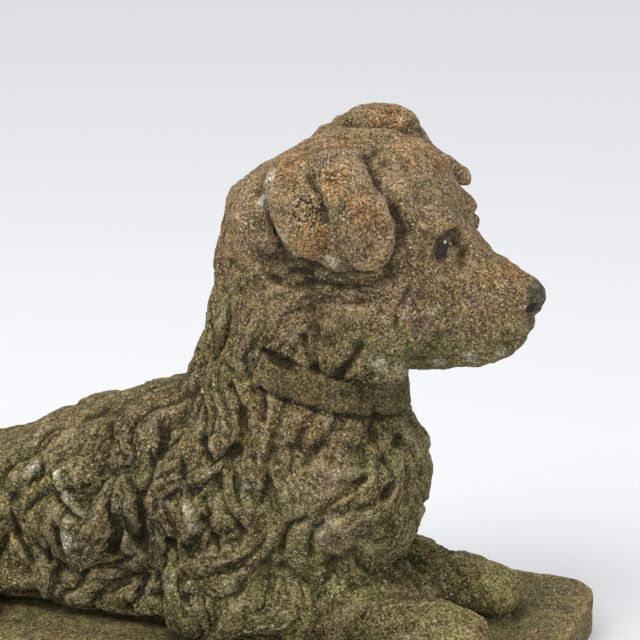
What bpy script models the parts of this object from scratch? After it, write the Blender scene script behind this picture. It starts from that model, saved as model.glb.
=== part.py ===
"""A weathered cast-stone terrier lying on its own low plinth, head up, with a collar.

The dog faces +X and its right side faces -Y. The origin is on the underside, at the plinth's centre.
The figure is sculpted in parts of its own height: x runs along the plinth, y to the dog's left,
and z up from the ground that the dog lies on.
"""

import math

import bmesh
import bpy
import numpy as np
from mathutils import Matrix, Vector

# Driving sizes, in metres
DOG_HEIGHT = 0.363  # ground under the paws to the top of the ears
PLINTH_HEIGHT = 0.032
PLINTH_MARGIN = 0.010  # how far the plinth stands out beyond the dog
PLINTH_CORNER = 0.030
PLINTH_CHAMFER = 0.004

# The tables of masses are in parts of the dog's height
HEIGHT_PARTS = 363
UNIT = DOG_HEIGHT / HEIGHT_PARTS
HALF_LENGTH = 280  # from the plinth's centre to the nose, and to the rump
HALF_WIDTH = 116

VOXEL = 4.5 * UNIT
SIDES = 28
RINGS = 34
TRIANGLES = 8800
FACE_TRIANGLES = 1000

LEFT = (0, 1, 0)
UP = (0, 0, 1)
BACK = (-1, 0, 0)

# The fur is carved in long wavy locks with a groove between one and the next, in parts of the dog's height
LOCK_WIDTH = 17
LOCK_REACH = 62
LOCK_DEPTH = 6.5
COLLAR_CENTRE = (96, 0, 196)
COLLAR_SLOPE = math.radians(16.5)
COLLAR_HALF_HEIGHT = 10.5
COLLAR_PROUD = 2.2


def place(x, y, z):
    """A point of the figure's tables, in metres."""
    return Vector((x * UNIT, y * UNIT, PLINTH_HEIGHT + z * UNIT))


def ball(bm, centre, radii, pitch=0.0, yaw=0.0):
    """An ellipsoid of stone, pitched nose-down and then turned about the vertical, in degrees."""
    turn = Matrix.Rotation(math.radians(yaw), 4, "Z") @ Matrix.Rotation(math.radians(pitch), 4, "Y")
    size = Matrix.Diagonal((*[r * UNIT for r in radii], 1.0))
    bmesh.ops.create_icosphere(
        bm, subdivisions=4, radius=1.0, matrix=Matrix.Translation(place(*centre)) @ turn @ size
    )


def spline(table, t):
    """Rows of a table, read smoothly at t from 0 to 1 (Catmull-Rom)."""
    rows = np.asarray(table, float)
    padded = np.vstack([2 * rows[0] - rows[1], rows, 2 * rows[-1] - rows[-2]])
    at = np.clip(np.asarray(t, float) * (len(rows) - 1), 0, len(rows) - 1 - 1e-9)
    i = at.astype(int)
    f = (at - i)[:, None]
    a, b, c, d = padded[i], padded[i + 1], padded[i + 2], padded[i + 3]
    return 0.5 * (2 * b + (c - a) * f + (2 * a - 5 * b + 4 * c - d) * f**2 + (3 * b - a - 3 * c + d) * f**3)


def limb(bm, stations, across, above=None, cap=0.06):
    """A long form swept through stations (x, y, z, half width, upper radius, lower radius).

    It is a sphere drawn out along them, so both ends are closed and round. The half width lies
    along across and the upper radius along above. Without above, each section stands square to the path.
    """
    made = bmesh.ops.create_uvsphere(bm, u_segments=SIDES, v_segments=RINGS, radius=1.0)
    across = Vector(across).normalized()
    step = 1e-3
    for vertex in made["verts"]:
        t = math.acos(max(-1.0, min(1.0, -vertex.co.z))) / math.pi
        angle = math.atan2(vertex.co.y, vertex.co.x)
        x, y, z, wide, upper, lower = spline(stations, [t])[0]
        rise = above
        if above is None:
            ends = spline(stations, [max(0.0, t - step), min(1.0, t + step)])[:, :3]
            rise = Vector(ends[1] - ends[0]).normalized().cross(across)
        rounding = math.sqrt(max(0.0, 1.0 - max(0.0, 1.0 - min(t, 1.0 - t) / cap) ** 2))
        radius = upper if math.sin(angle) > 0 else lower
        offset = across * (wide * math.cos(angle)) + Vector(rise).normalized() * (radius * math.sin(angle))
        vertex.co = place(*(Vector((x, y, z)) + offset * rounding))


TORSO = [
    (188, 0, 114, 22, 16, 24),
    (176, 0, 112, 50, 38, 54),
    (152, 0, 108, 66, 56, 80),
    (125, 0, 105, 74, 70, 100),
    (80, 0, 100, 78, 74, 105),
    (30, 0, 98, 80, 74, 103),
    (-20, 0, 92, 80, 67, 97),
    (-54, 0, 85, 79, 61, 90),
    (-84, 0, 78, 78, 59, 83),
    (-128, 0, 66, 78, 45, 70),
    (-170, 0, 58, 78, 38, 62),
    (-220, 0, 52, 78, 38, 56),
    (-252, 0, 44, 66, 32, 48),
    (-272, 0, 36, 44, 22, 40),
]
FILL_UNDER_BODY = [
    (-250, 0, 12, 50, 24, 16),
    (-150, 0, 14, 72, 34, 18),
    (-20, 0, 14, 74, 40, 18),
    (110, 0, 14, 66, 40, 18),
    (205, 0, 8, 40, 14, 12),
]
# On the way up, the upper radius is the nape's and the lower radius the throat's
NECK = [
    (70, 0, 100, 72, 60, 86),
    (84, 0, 140, 70, 76, 88),
    (94, 0, 178, 65, 80, 78),
    (99, 0, 210, 60, 71, 68),
    (102, 0, 245, 57, 69, 58),
    (106, 0, 280, 55, 69, 54),
    (114, 0, 308, 50, 58, 48),
    (122, 0, 332, 34, 38, 34),
]
HEAD = [
    (42, 0, 290, 14, 16, 24),
    (52, 0, 288, 34, 29, 40),
    (72, 0, 291, 49, 40, 54),
    (104, 0, 292, 57, 57, 66),
    (140, 0, 288, 60, 69, 84),
    (170, 0, 282, 57, 73, 88),
    (188, 0, 274, 52, 74, 80),
    (202, 0, 266, 46, 64, 71),
    (213, 0, 260, 41, 42, 63),
    (225, 0, 254, 37, 32, 57),
    (237, 0, 248, 33, 29, 46),
    (249, 0, 245, 28, 25, 37),
    (259, 0, 243, 22, 20, 26),
    (266, 0, 242, 14, 13, 14),
]
FORELEG = [
    (18, 72, 40, 26, 30, 44),
    (70, 70, 32, 27, 31, 38),
    (120, 60, 28, 25, 29, 34),
    (162, 48, 26, 24, 25, 32),
    (195, 44, 22, 24, 19, 28),
    (225, 44, 18, 25, 19, 24),
    (252, 44, 13, 22, 14, 19),
]
HIND_FOOT = [
    (-240, 84, 26, 18, 22, 32),
    (-205, 96, 20, 17, 18, 26),
    (-165, 98, 17, 16, 15, 23),
    (-130, 98, 16, 18, 15, 22),
    (-105, 97, 12, 17, 12, 18),
]
TAIL = [
    (-252, 14, 52, 15, 15, 18),
    (-268, -12, 34, 16, 15, 24),
    (-266, -50, 20, 16, 15, 26),
    (-250, -82, 15, 15, 14, 21),
    (-228, -102, 12, 9, 9, 17),
]
# The right ear's three folds, from its root on the crown down to the hanging edge, back to front
EAR_FOLDS = [
    [(102, -20, 330, 20, 20, 12), (93, -46, 326, 18, 30, 11), (87, -61, 313, 16, 32, 11),
     (88, -66, 298, 14, 28, 10), (97, -65, 282, 11, 20, 8)],
    [(122, -28, 337, 22, 20, 12), (118, -49, 339, 24, 32, 12), (117, -63, 328, 23, 34, 12),
     (124, -70, 306, 21, 28, 14), (131, -69, 281, 18, 18, 12)],
    [(132, -28, 342, 20, 20, 12), (137, -49, 344, 22, 32, 12), (149, -62, 333, 23, 34, 12),
     (163, -70, 309, 24, 28, 14), (165, -70, 277, 21, 18, 12)],
]
EAR_WEB = (146, -62, 300)  # where the right ear's two front folds run together
# The left ear stands a little higher, and its tip turns forward over the brow
LEFT_EAR_FOLDS = [
    [(116, 30, 330, 22, 20, 12), (107, 50, 338, 22, 32, 12), (98, 61, 326, 20, 34, 12),
     (96, 66, 300, 18, 28, 11), (98, 62, 279, 13, 16, 8)],
    [(138, 30, 344, 24, 20, 12), (136, 50, 354, 26, 32, 13), (140, 64, 342, 26, 34, 14),
     (150, 71, 316, 26, 28, 14), (156, 66, 284, 20, 16, 12)],
]
LEFT_EAR_WEB = (118, 46, 338)
LEFT_EAR_TIP = [
    (146, 42, 346, 16, 12, 16),
    (162, 48, 341, 15, 9, 18),
    (175, 53, 332, 13, 6, 14),
    (189, 55, 324, 9, 6, 10),
    (202, 54, 315, 7, 6, 7),
]


def mirrored(stations, hand):
    return [(x, hand * y, z, w, u, d) for x, y, z, w, u, d in stations]


def body_masses(bm):
    limb(bm, TORSO, LEFT, UP)
    limb(bm, FILL_UNDER_BODY, LEFT, UP)
    limb(bm, NECK, LEFT, BACK)
    for hand in (-1, 1):
        ball(bm, (-214, hand * 58, 42), (58, 38, 45))
        ball(bm, (62, hand * 56, 92), (48, 30, 66), pitch=-15)
        limb(bm, mirrored(FORELEG, hand), LEFT, UP)
        limb(bm, mirrored(HIND_FOOT, hand), LEFT, UP)
    limb(bm, TAIL, UP)


def head_masses(bm):
    limb(bm, HEAD, LEFT, UP)
    ball(bm, (127, 14, 321), (42, 44, 34))
    ball(bm, (164, -36, 318), (28, 22, 26))
    for hand in (-1, 1):
        ball(bm, (158, hand * 36, 238), (46, 24, 38))
        ball(bm, (150, hand * 37, 208), (38, 21, 21), pitch=8)
        ball(bm, (203, hand * 27, 301), (15, 17, 14), yaw=hand * 15)


def ear_masses(bm):
    for fold in EAR_FOLDS:
        limb(bm, fold, (-1, 0, 0), cap=0.2)
    ball(bm, EAR_WEB, (20, 19, 25))
    ball(bm, LEFT_EAR_WEB, (22, 26, 20))
    for fold in LEFT_EAR_FOLDS:
        limb(bm, fold, (1, 0, 0), cap=0.2)
    limb(bm, LEFT_EAR_TIP, LEFT, UP, cap=0.15)
    ball(bm, (259, 0, 249), (13, 17, 15), pitch=25)


def fuse(obj, build, voxel, rounds):
    """Adds masses to the object, fuses all of it into one skin and softens the creases."""
    bm = bmesh.new()
    bm.from_mesh(obj.data)
    build(bm)
    bm.to_mesh(obj.data)
    bm.free()
    remesh = obj.modifiers.new("one skin", "REMESH")
    remesh.mode = "VOXEL"
    remesh.voxel_size = voxel
    smooth = obj.modifiers.new("soft creases", "SMOOTH")
    smooth.factor = 0.5
    smooth.iterations = rounds
    apply_modifiers(obj)


def apply_modifiers(obj):
    graph = bpy.context.evaluated_depsgraph_get()
    obj.data = bpy.data.meshes.new_from_object(obj.evaluated_get(graph))
    obj.modifiers.clear()


def ramp(low, high, value):
    """0 below low, 1 above high and smooth between. With low above high it falls instead."""
    t = np.clip((value - low) / (high - low), 0.0, 1.0)
    return t * t * (3 - 2 * t)


def spot(p, centre, radii):
    """1 at the centre, fading smoothly to 0 at about twice the radii."""
    return np.exp(-(((p - np.asarray(centre, float)) / np.asarray(radii, float)) ** 2).sum(1))


def groove(distance, half_width):
    return np.exp(-((distance / half_width) ** 2))


def unit(v):
    return v / np.maximum(np.linalg.norm(v, axis=-1, keepdims=True), 1e-9)


def height_on_collar(p):
    """Distance above the collar's middle, square to the band."""
    normal = np.array((math.sin(COLLAR_SLOPE), 0.0, math.cos(COLLAR_SLOPE)))
    return (p - np.asarray(COLLAR_CENTRE, float)) @ normal


def collar_mask(p):
    x, y, z = p.T
    band = ramp(COLLAR_HALF_HEIGHT + 2, COLLAR_HALF_HEIGHT, np.abs(height_on_collar(p)))
    return band * ramp(84, 98, x) * ramp(215, 200, x)


def coat_depth(p):
    """How deep the fur is cut, from 0 on the muzzle, collar and paws to 1 on the ruff."""
    x, y, z = p.T
    head = ramp(205, 235, z + 0.25 * (x - 100))
    depth = 1.0 - 0.72 * head
    depth *= 1 - head * ramp(150, 200, x)
    depth *= 1 - 0.7 * ramp(58, 64, np.abs(y)) * ramp(262, 272, z) * ramp(92, 102, x)
    legs = ramp(70, 40, z) * ramp(95, 120, np.abs(y) * 0.4 + x * 0.6)
    depth *= 1 - 0.55 * legs
    depth *= 1 - ramp(205, 225, x) * ramp(80, 60, z)
    depth *= 1 - ramp(-145, -125, x) * ramp(84, 90, np.abs(y)) * ramp(45, 35, z) * ramp(0, -20, x)
    depth *= 1 - 0.4 * ramp(50, 95, x) * ramp(205, 185, z) * ramp(40, 60, z)
    depth *= 1 - 0.45 * ramp(40, 10, x) * ramp(60, 40, np.abs(y)) * ramp(90, 110, z + 0.25 * (x + 100))
    depth *= 1 - 0.95 * collar_mask(p)
    return depth * ramp(0, 14, z)


def flow(p, n):
    """Which way the fur lies at p, along the surface."""
    x, y, z = p.T
    side = np.tanh(y / 25)
    zero = np.zeros_like(x)
    flank = np.stack([zero - 0.30, 0.35 * side, zero - 1.0], 1)
    back = np.stack([zero - 1.0, 0.55 * side, zero - 0.45], 1)
    neck = np.stack([zero - 0.10, 0.12 * side, zero - 1.0], 1)
    head = np.stack([zero - 1.0, 0.25 * side, zero - 0.30], 1)
    on_back = (ramp(0.55, 0.85, n[:, 2]) * ramp(60, 20, x))[:, None]
    on_neck = (ramp(10, 50, x) * ramp(100, 150, z))[:, None]
    on_head = (ramp(225, 255, z + 0.25 * (x - 100)) * ramp(0, 60, x))[:, None]
    on_ear = (ramp(60, 66, np.abs(y)) * ramp(265, 280, z))[:, None]
    f = flank * (1 - on_back) + back * on_back
    f = f * (1 - on_neck) + neck * on_neck
    f = f * (1 - on_head) + head * on_head
    f = f * (1 - on_ear) + neck * on_ear
    swirl = 0.5 * np.sin(x / 17 + z / 31 + 1.7 * side) + 0.4 * np.sin(z / 11 - x / 29 + 0.6)
    swirl = (swirl * (1 - 0.8 * on_head[:, 0]) * (1 - 0.35 * on_neck[:, 0]))[:, None]
    f = unit(f - n * (f * n).sum(1, keepdims=True))
    return f * np.cos(swirl) + np.cross(n, f) * np.sin(swirl)


def grain(p, size, seed):
    """Smooth random values, about -1 to 1, that change over a distance of size."""
    cells = np.random.default_rng(seed).uniform(-1, 1, (48, 48, 48))
    at = p / size
    low = np.floor(at)
    f = at - low
    f = f * f * (3 - 2 * f)
    low = low.astype(int) % 48
    high = (low + 1) % 48
    total = 0.0
    for corner in range(8):
        picks = [(corner >> axis) & 1 for axis in range(3)]
        i, j, k = [high[:, axis] if pick else low[:, axis] for axis, pick in enumerate(picks)]
        share = np.prod([f[:, axis] if pick else 1 - f[:, axis] for axis, pick in enumerate(picks)], axis=0)
        total = total + share * cells[i, j, k]
    return total


def combed(p, n, size, reach, seed, steps=7):
    """Random values drawn out along the lie of the fur, so that they change only across it."""
    total = grain(p, size, seed)
    for way in (-1, 1):
        q = p.copy()
        for _ in range(steps):
            q += way * reach / steps * flow(q, n)
            total += grain(q, size, seed)
    return total / total.std()


def lay_locks(p, n, size, reach, seed):
    """Height of the locks, from 0 in the grooves between them to 1 along their backs."""
    return 1 - np.exp(-((combed(p, n, size, reach, seed) / 0.6) ** 2))


def carve_face(p):
    """Eyes, nose, mouth, toes, the hollow behind the elbow and the collar: how far p moves out."""
    x, y, z = p.T
    away = np.abs(y)
    both = np.stack([x, away, z], 1)
    out = -4.0 * spot(both, (214, 35, 290), (11, 10, 14))
    eye_x, eye_z = x - 211, z - 289
    out += 5.5 * np.exp(-(((eye_x - 0.3 * eye_z) / 5.0) ** 2 + (eye_z / 8.2) ** 2) ** 2) * ramp(20, 26, away)
    out -= 4.5 * np.exp(-(((eye_x - 8.5 + 0.3 * eye_z) / 2.8) ** 2 + (eye_z / 12) ** 2)) * ramp(14, 22, away)
    out -= 4.5 * spot(both, (270, 8, 247), (5, 4.5, 4.5))
    out -= 2.0 * groove(np.hypot(x - 274, (z - 252) * 0.8) - 17, 2.2) * ramp(262, 252, z + 0.5 * (x - 250))
    lip = 209 + 14 * ramp(228, 262, x) - 2 * ramp(215, 200, x)
    out -= 2.8 * groove(z - lip, 2.6) * ramp(186, 196, x) * ramp(274, 268, x) * ramp(244, 232, z)
    out -= 2.0 * groove(y, 2.2) * ramp(258, 264, x) * ramp(222, 226, z) * ramp(246, 242, z)
    out -= 8.0 * spot(both, (7, 84, 74), (11, 24, 27))
    toes = ramp(226, 238, x) * ramp(60, 40, z)
    out -= 3.5 * toes * (groove(away - 37, 2.4) + groove(away - 51, 2.4) + groove(away - 44, 2.4))
    hind = ramp(-126, -116, x) * ramp(0, -20, x) * ramp(50, 35, z)
    out -= 3.0 * hind * (groove(away - 92, 2.2) + groove(away - 103, 2.2))
    out += COLLAR_PROUD * collar_mask(p)
    rim = np.abs(np.abs(height_on_collar(p)) - COLLAR_HALF_HEIGHT - 2.5)
    out -= 2.5 * groove(rim, 2.2) * ramp(84, 98, x) * ramp(215, 200, x)
    tongue = np.hypot(np.minimum(x - 140, 0) / 9, (height_on_collar(p) + 1) / 8.5)
    out += 1.8 * ramp(1.1, 0.9, tongue) * ramp(176, 172, x) * (y < 0) * ramp(120, 140, z)
    return out


def table_points(obj):
    """The skin's points and normals, in the tables' own units."""
    count = len(obj.data.vertices)
    flat = np.empty(count * 3)
    obj.data.vertices.foreach_get("co", flat)
    p = (flat.reshape(-1, 3) - np.array(place(0, 0, 0))) / UNIT
    turned = np.empty(count * 3)
    obj.data.vertex_normals.foreach_get("vector", turned)
    return p, turned.reshape(-1, 3)


def move_out(obj, p, n, out):
    moved = (p + n * out[:, None]) * UNIT + np.array(place(0, 0, 0))
    obj.data.vertices.foreach_set("co", moved.ravel())
    obj.data.update()


def carve(obj):
    p, n = table_points(obj)
    locks = lay_locks(p, n, LOCK_WIDTH, LOCK_REACH / 2, 5)
    out = LOCK_DEPTH * coat_depth(p) * (locks - 0.6) + carve_face(p)
    move_out(obj, p, n, out)


def thin(obj, on_face, triangles):
    """Collapses the face, or all but the face, to about so many triangles."""
    p, n = table_points(obj)
    face = (p[:, 0] > 186) & (p[:, 2] > 196)
    group = obj.vertex_groups.new(name="to thin")
    group.add([int(i) for i in np.nonzero(face == on_face)[0]], 1.0, "REPLACE")
    sizes = np.array([[len(f.vertices) - 2, all(face[v] == on_face for v in f.vertices)]
                      for f in obj.data.polygons])
    kept = sizes[sizes[:, 1] == 0, 0].sum()
    collapse = obj.modifiers.new("facets", "DECIMATE")
    collapse.ratio = (kept + triangles) / sizes[:, 0].sum()
    collapse.vertex_group = "to thin"
    apply_modifiers(obj)
    obj.vertex_groups.clear()


def plinth():
    bm = bmesh.new()
    made = bmesh.ops.create_cube(bm, size=2.0)
    for vertex in made["verts"]:
        vertex.co.x *= HALF_LENGTH * UNIT + PLINTH_MARGIN
        vertex.co.y *= HALF_WIDTH * UNIT + PLINTH_MARGIN
        vertex.co.z = PLINTH_HEIGHT if vertex.co.z > 0 else 0.0
    upright = [e for e in bm.edges if abs(e.verts[0].co.z - e.verts[1].co.z) > PLINTH_HEIGHT / 2]
    bmesh.ops.bevel(bm, geom=upright, offset=PLINTH_CORNER, segments=6, profile=0.5,
                    affect="EDGES", material=-1)
    brim = [e for e in bm.edges if all(v.co.z > PLINTH_HEIGHT / 2 for v in e.verts)]
    bmesh.ops.bevel(bm, geom=brim, offset=PLINTH_CHAMFER, segments=1, profile=0.5,
                    affect="EDGES", material=-1)
    mesh = bpy.data.meshes.new("plinth")
    bm.to_mesh(mesh)
    bm.free()
    obj = bpy.data.objects.new("plinth", mesh)
    bpy.context.scene.collection.objects.link(obj)
    return obj


def stone():
    material = bpy.data.materials.new("weathered_stone")
    material.use_nodes = True
    shader = material.node_tree.nodes["Principled BSDF"]
    shader.inputs["Base Color"].default_value = (0.165, 0.135, 0.080, 1.0)
    shader.inputs["Roughness"].default_value = 0.93
    return material


def main():
    for obj in list(bpy.data.objects):
        bpy.data.objects.remove(obj)
    dog = bpy.data.objects.new("stone_terrier", bpy.data.meshes.new("stone_terrier"))
    bpy.context.scene.collection.objects.link(dog)
    fuse(dog, body_masses, VOXEL, 14)
    fuse(dog, head_masses, 0.75 * VOXEL, 9)
    fuse(dog, ear_masses, 0.55 * VOXEL, 3)
    carve(dog)
    thin(dog, True, FACE_TRIANGLES)
    thin(dog, False, TRIANGLES - FACE_TRIANGLES)
    base = plinth()
    join = dog.modifiers.new("cast with its plinth", "BOOLEAN")
    join.operation = "UNION"
    join.solver = "EXACT"
    join.object = base
    apply_modifiers(dog)
    bpy.data.objects.remove(base)
    dog.data.materials.clear()
    dog.data.materials.append(stone())
    dog.data.name = "stone_terrier"


main()
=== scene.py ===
"""The weathered cast-stone terrier on its plinth, carved finely over the form of the CAD solid."""

import math

import bmesh
import bpy
import numpy as np
from mathutils import Matrix, Vector


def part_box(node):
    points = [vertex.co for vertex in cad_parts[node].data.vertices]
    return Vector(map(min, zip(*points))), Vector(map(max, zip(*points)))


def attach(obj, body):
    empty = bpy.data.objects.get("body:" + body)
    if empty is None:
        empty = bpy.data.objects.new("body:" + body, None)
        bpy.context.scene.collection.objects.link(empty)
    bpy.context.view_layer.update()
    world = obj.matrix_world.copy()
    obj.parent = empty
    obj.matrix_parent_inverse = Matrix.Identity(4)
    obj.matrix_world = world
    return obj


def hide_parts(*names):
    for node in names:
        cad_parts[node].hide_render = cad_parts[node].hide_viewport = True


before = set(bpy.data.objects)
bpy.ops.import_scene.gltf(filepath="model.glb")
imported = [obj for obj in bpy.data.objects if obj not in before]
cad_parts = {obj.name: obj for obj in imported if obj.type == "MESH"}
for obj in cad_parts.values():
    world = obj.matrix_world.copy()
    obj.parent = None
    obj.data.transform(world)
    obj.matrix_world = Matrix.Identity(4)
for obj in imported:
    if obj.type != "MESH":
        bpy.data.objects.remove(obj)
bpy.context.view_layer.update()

# Driving sizes, in metres
DOG_HEIGHT = 0.363  # ground under the paws to the top of the ears
PLINTH_HEIGHT = 0.032
PLINTH_MARGIN = 0.010  # how far the plinth stands out beyond the dog
PLINTH_CORNER = 0.030
PLINTH_CHAMFER = 0.004

# The tables of masses are in parts of the dog's height
HEIGHT_PARTS = 363
UNIT = DOG_HEIGHT / HEIGHT_PARTS
HALF_LENGTH = 280  # from the plinth's centre to the nose, and to the rump
HALF_WIDTH = 116

VOXEL = 4.5 * UNIT
SIDES = 28
RINGS = 34

LEFT = (0, 1, 0)
UP = (0, 0, 1)
BACK = (-1, 0, 0)

# The fur is carved in long wavy locks with a groove between one and the next, in parts of the dog's height
LOCK_WIDTH = 17
LOCK_REACH = 62
LOCK_DEPTH = 6.5
COLLAR_CENTRE = (96, 0, 196)
COLLAR_SLOPE = math.radians(16.5)
COLLAR_HALF_HEIGHT = 10.5
COLLAR_PROUD = 2.2


def place(x, y, z):
    """A point of the figure's tables, in metres."""
    return Vector((x * UNIT, y * UNIT, PLINTH_HEIGHT + z * UNIT))


def ball(bm, centre, radii, pitch=0.0, yaw=0.0):
    """An ellipsoid of stone, pitched nose-down and then turned about the vertical, in degrees."""
    turn = Matrix.Rotation(math.radians(yaw), 4, "Z") @ Matrix.Rotation(math.radians(pitch), 4, "Y")
    size = Matrix.Diagonal((*[r * UNIT for r in radii], 1.0))
    bmesh.ops.create_icosphere(
        bm, subdivisions=4, radius=1.0, matrix=Matrix.Translation(place(*centre)) @ turn @ size
    )


def spline(table, t):
    """Rows of a table, read smoothly at t from 0 to 1 (Catmull-Rom)."""
    rows = np.asarray(table, float)
    padded = np.vstack([2 * rows[0] - rows[1], rows, 2 * rows[-1] - rows[-2]])
    at = np.clip(np.asarray(t, float) * (len(rows) - 1), 0, len(rows) - 1 - 1e-9)
    i = at.astype(int)
    f = (at - i)[:, None]
    a, b, c, d = padded[i], padded[i + 1], padded[i + 2], padded[i + 3]
    return 0.5 * (2 * b + (c - a) * f + (2 * a - 5 * b + 4 * c - d) * f**2 + (3 * b - a - 3 * c + d) * f**3)


def limb(bm, stations, across, above=None, cap=0.06):
    """A long form swept through stations (x, y, z, half width, upper radius, lower radius).

    It is a sphere drawn out along them, so both ends are closed and round. The half width lies
    along across and the upper radius along above. Without above, each section stands square to the path.
    """
    made = bmesh.ops.create_uvsphere(bm, u_segments=SIDES, v_segments=RINGS, radius=1.0)
    across = Vector(across).normalized()
    step = 1e-3
    for vertex in made["verts"]:
        t = math.acos(max(-1.0, min(1.0, -vertex.co.z))) / math.pi
        angle = math.atan2(vertex.co.y, vertex.co.x)
        x, y, z, wide, upper, lower = spline(stations, [t])[0]
        rise = above
        if above is None:
            ends = spline(stations, [max(0.0, t - step), min(1.0, t + step)])[:, :3]
            rise = Vector(ends[1] - ends[0]).normalized().cross(across)
        rounding = math.sqrt(max(0.0, 1.0 - max(0.0, 1.0 - min(t, 1.0 - t) / cap) ** 2))
        radius = upper if math.sin(angle) > 0 else lower
        offset = across * (wide * math.cos(angle)) + Vector(rise).normalized() * (radius * math.sin(angle))
        vertex.co = place(*(Vector((x, y, z)) + offset * rounding))


TORSO = [
    (188, 0, 114, 22, 16, 24),
    (176, 0, 112, 50, 38, 54),
    (152, 0, 108, 66, 56, 80),
    (125, 0, 105, 74, 70, 100),
    (80, 0, 100, 78, 74, 105),
    (30, 0, 98, 80, 74, 103),
    (-20, 0, 92, 80, 67, 97),
    (-54, 0, 85, 79, 61, 90),
    (-84, 0, 78, 78, 59, 83),
    (-128, 0, 66, 78, 45, 70),
    (-170, 0, 58, 78, 38, 62),
    (-220, 0, 52, 78, 38, 56),
    (-252, 0, 44, 66, 32, 48),
    (-272, 0, 36, 44, 22, 40),
]
FILL_UNDER_BODY = [
    (-250, 0, 12, 50, 24, 16),
    (-150, 0, 14, 72, 34, 18),
    (-20, 0, 14, 74, 40, 18),
    (110, 0, 14, 66, 40, 18),
    (205, 0, 8, 40, 14, 12),
]
# On the way up, the upper radius is the nape's and the lower radius the throat's
NECK = [
    (70, 0, 100, 72, 60, 86),
    (84, 0, 140, 70, 76, 88),
    (94, 0, 178, 65, 80, 78),
    (99, 0, 210, 60, 71, 68),
    (102, 0, 245, 57, 69, 58),
    (106, 0, 280, 55, 69, 54),
    (114, 0, 308, 50, 58, 48),
    (122, 0, 332, 34, 38, 34),
]
HEAD = [
    (42, 0, 290, 14, 16, 24),
    (52, 0, 288, 34, 29, 40),
    (72, 0, 291, 49, 40, 54),
    (104, 0, 292, 57, 57, 66),
    (140, 0, 288, 60, 69, 84),
    (170, 0, 282, 57, 73, 88),
    (188, 0, 274, 52, 74, 80),
    (202, 0, 266, 46, 64, 71),
    (213, 0, 260, 41, 42, 63),
    (225, 0, 254, 37, 32, 57),
    (237, 0, 248, 33, 29, 46),
    (249, 0, 245, 28, 25, 37),
    (259, 0, 243, 22, 20, 26),
    (266, 0, 242, 14, 13, 14),
]
FORELEG = [
    (18, 72, 40, 26, 30, 44),
    (70, 70, 32, 27, 31, 38),
    (120, 60, 28, 25, 29, 34),
    (162, 48, 26, 24, 25, 32),
    (195, 44, 22, 24, 19, 28),
    (225, 44, 18, 25, 19, 24),
    (252, 44, 13, 22, 14, 19),
]
HIND_FOOT = [
    (-240, 84, 26, 18, 22, 32),
    (-205, 96, 20, 17, 18, 26),
    (-165, 98, 17, 16, 15, 23),
    (-130, 98, 16, 18, 15, 22),
    (-105, 97, 12, 17, 12, 18),
]
TAIL = [
    (-252, 14, 52, 15, 15, 18),
    (-268, -12, 34, 16, 15, 24),
    (-266, -50, 20, 16, 15, 26),
    (-250, -82, 15, 15, 14, 21),
    (-228, -102, 12, 9, 9, 17),
]
# The right ear's three folds, from its root on the crown down to the hanging edge, back to front
EAR_FOLDS = [
    [(102, -20, 330, 20, 20, 12), (93, -46, 326, 18, 30, 11), (87, -61, 313, 16, 32, 11),
     (88, -66, 298, 14, 28, 10), (97, -65, 282, 11, 20, 8)],
    [(122, -28, 337, 22, 20, 12), (118, -49, 339, 24, 32, 12), (117, -63, 328, 23, 34, 12),
     (124, -70, 306, 21, 28, 14), (131, -69, 281, 18, 18, 12)],
    [(132, -28, 342, 20, 20, 12), (137, -49, 344, 22, 32, 12), (149, -62, 333, 23, 34, 12),
     (163, -70, 309, 24, 28, 14), (165, -70, 277, 21, 18, 12)],
]
EAR_WEB = (146, -62, 300)  # where the right ear's two front folds run together
# The left ear stands a little higher, and its tip turns forward over the brow
LEFT_EAR_FOLDS = [
    [(116, 30, 330, 22, 20, 12), (107, 50, 338, 22, 32, 12), (98, 61, 326, 20, 34, 12),
     (96, 66, 300, 18, 28, 11), (98, 62, 279, 13, 16, 8)],
    [(138, 30, 344, 24, 20, 12), (136, 50, 354, 26, 32, 13), (140, 64, 342, 26, 34, 14),
     (150, 71, 316, 26, 28, 14), (156, 66, 284, 20, 16, 12)],
]
LEFT_EAR_WEB = (118, 46, 338)
LEFT_EAR_TIP = [
    (146, 42, 346, 16, 12, 16),
    (162, 48, 341, 15, 9, 18),
    (175, 53, 332, 13, 6, 14),
    (189, 55, 324, 9, 6, 10),
    (202, 54, 315, 7, 6, 7),
]


def mirrored(stations, hand):
    return [(x, hand * y, z, w, u, d) for x, y, z, w, u, d in stations]


def body_masses(bm):
    limb(bm, TORSO, LEFT, UP)
    limb(bm, FILL_UNDER_BODY, LEFT, UP)
    limb(bm, NECK, LEFT, BACK)
    for hand in (-1, 1):
        ball(bm, (-214, hand * 58, 42), (58, 38, 45))
        ball(bm, (62, hand * 56, 92), (48, 30, 66), pitch=-15)
        limb(bm, mirrored(FORELEG, hand), LEFT, UP)
        limb(bm, mirrored(HIND_FOOT, hand), LEFT, UP)
    limb(bm, TAIL, UP)


def head_masses(bm):
    limb(bm, HEAD, LEFT, UP)
    ball(bm, (127, 14, 321), (42, 44, 34))
    ball(bm, (164, -36, 318), (28, 22, 26))
    for hand in (-1, 1):
        ball(bm, (158, hand * 36, 238), (46, 24, 38))
        ball(bm, (150, hand * 37, 208), (38, 21, 21), pitch=8)
        ball(bm, (203, hand * 27, 301), (15, 17, 14), yaw=hand * 15)


def ear_masses(bm):
    for fold in EAR_FOLDS:
        limb(bm, fold, (-1, 0, 0), cap=0.2)
    ball(bm, EAR_WEB, (20, 19, 25))
    ball(bm, LEFT_EAR_WEB, (22, 26, 20))
    for fold in LEFT_EAR_FOLDS:
        limb(bm, fold, (1, 0, 0), cap=0.2)
    limb(bm, LEFT_EAR_TIP, LEFT, UP, cap=0.15)
    ball(bm, (259, 0, 249), (13, 17, 15), pitch=25)


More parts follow.
